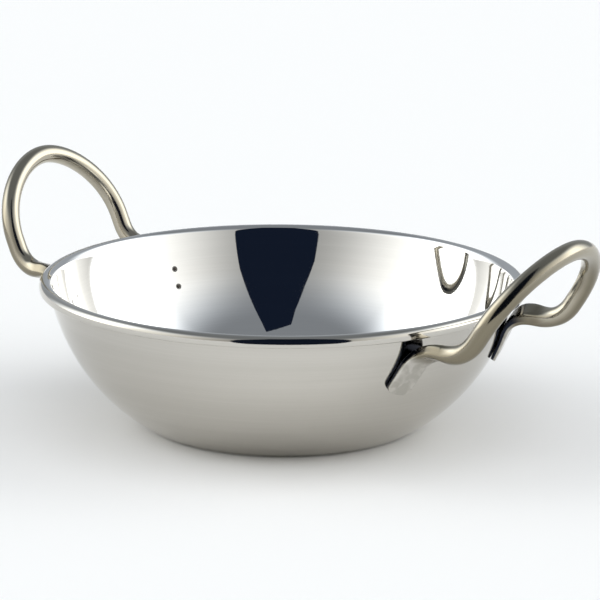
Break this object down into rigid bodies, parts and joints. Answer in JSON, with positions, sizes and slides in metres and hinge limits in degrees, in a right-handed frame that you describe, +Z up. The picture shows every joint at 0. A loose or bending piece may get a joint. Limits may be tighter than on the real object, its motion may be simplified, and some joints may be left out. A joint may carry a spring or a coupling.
{
  "type": "balti dish",
  "caption": "Round polished steel serving bowl with a curled rim, a flat base and upright wire loop handles spot-welded on opposite sides below the rim.",
  "frame": {"origin": "centre of the flat base, on the surface that the dish stands on", "axes": "+Z up out of the bowl, +X through the right handle, which leans out further; -X through the left handle"},
  "size_m": [0.1816, 0.13, 0.0637],
  "materials": {
    "bowl_steel": "mirror-polished stainless steel, with a softer polish outside",
    "handle_wire": "bright drawn wire with a warm nickel tint",
    "weld_steel": "dull fused steel"
  },
  "bodies": {
    "root": {"bowl": "bowl_steel", "right_handle": "handle_wire", "left_handle": "handle_wire", "right_front_upper_weld": "weld_steel", "right_front_lower_weld": "weld_steel", "right_back_upper_weld": "weld_steel", "right_back_lower_weld": "weld_steel", "left_front_upper_weld": "weld_steel", "left_front_lower_weld": "weld_steel", "left_back_upper_weld": "weld_steel", "left_back_lower_weld": "weld_steel"}
  },
  "joints": []
}
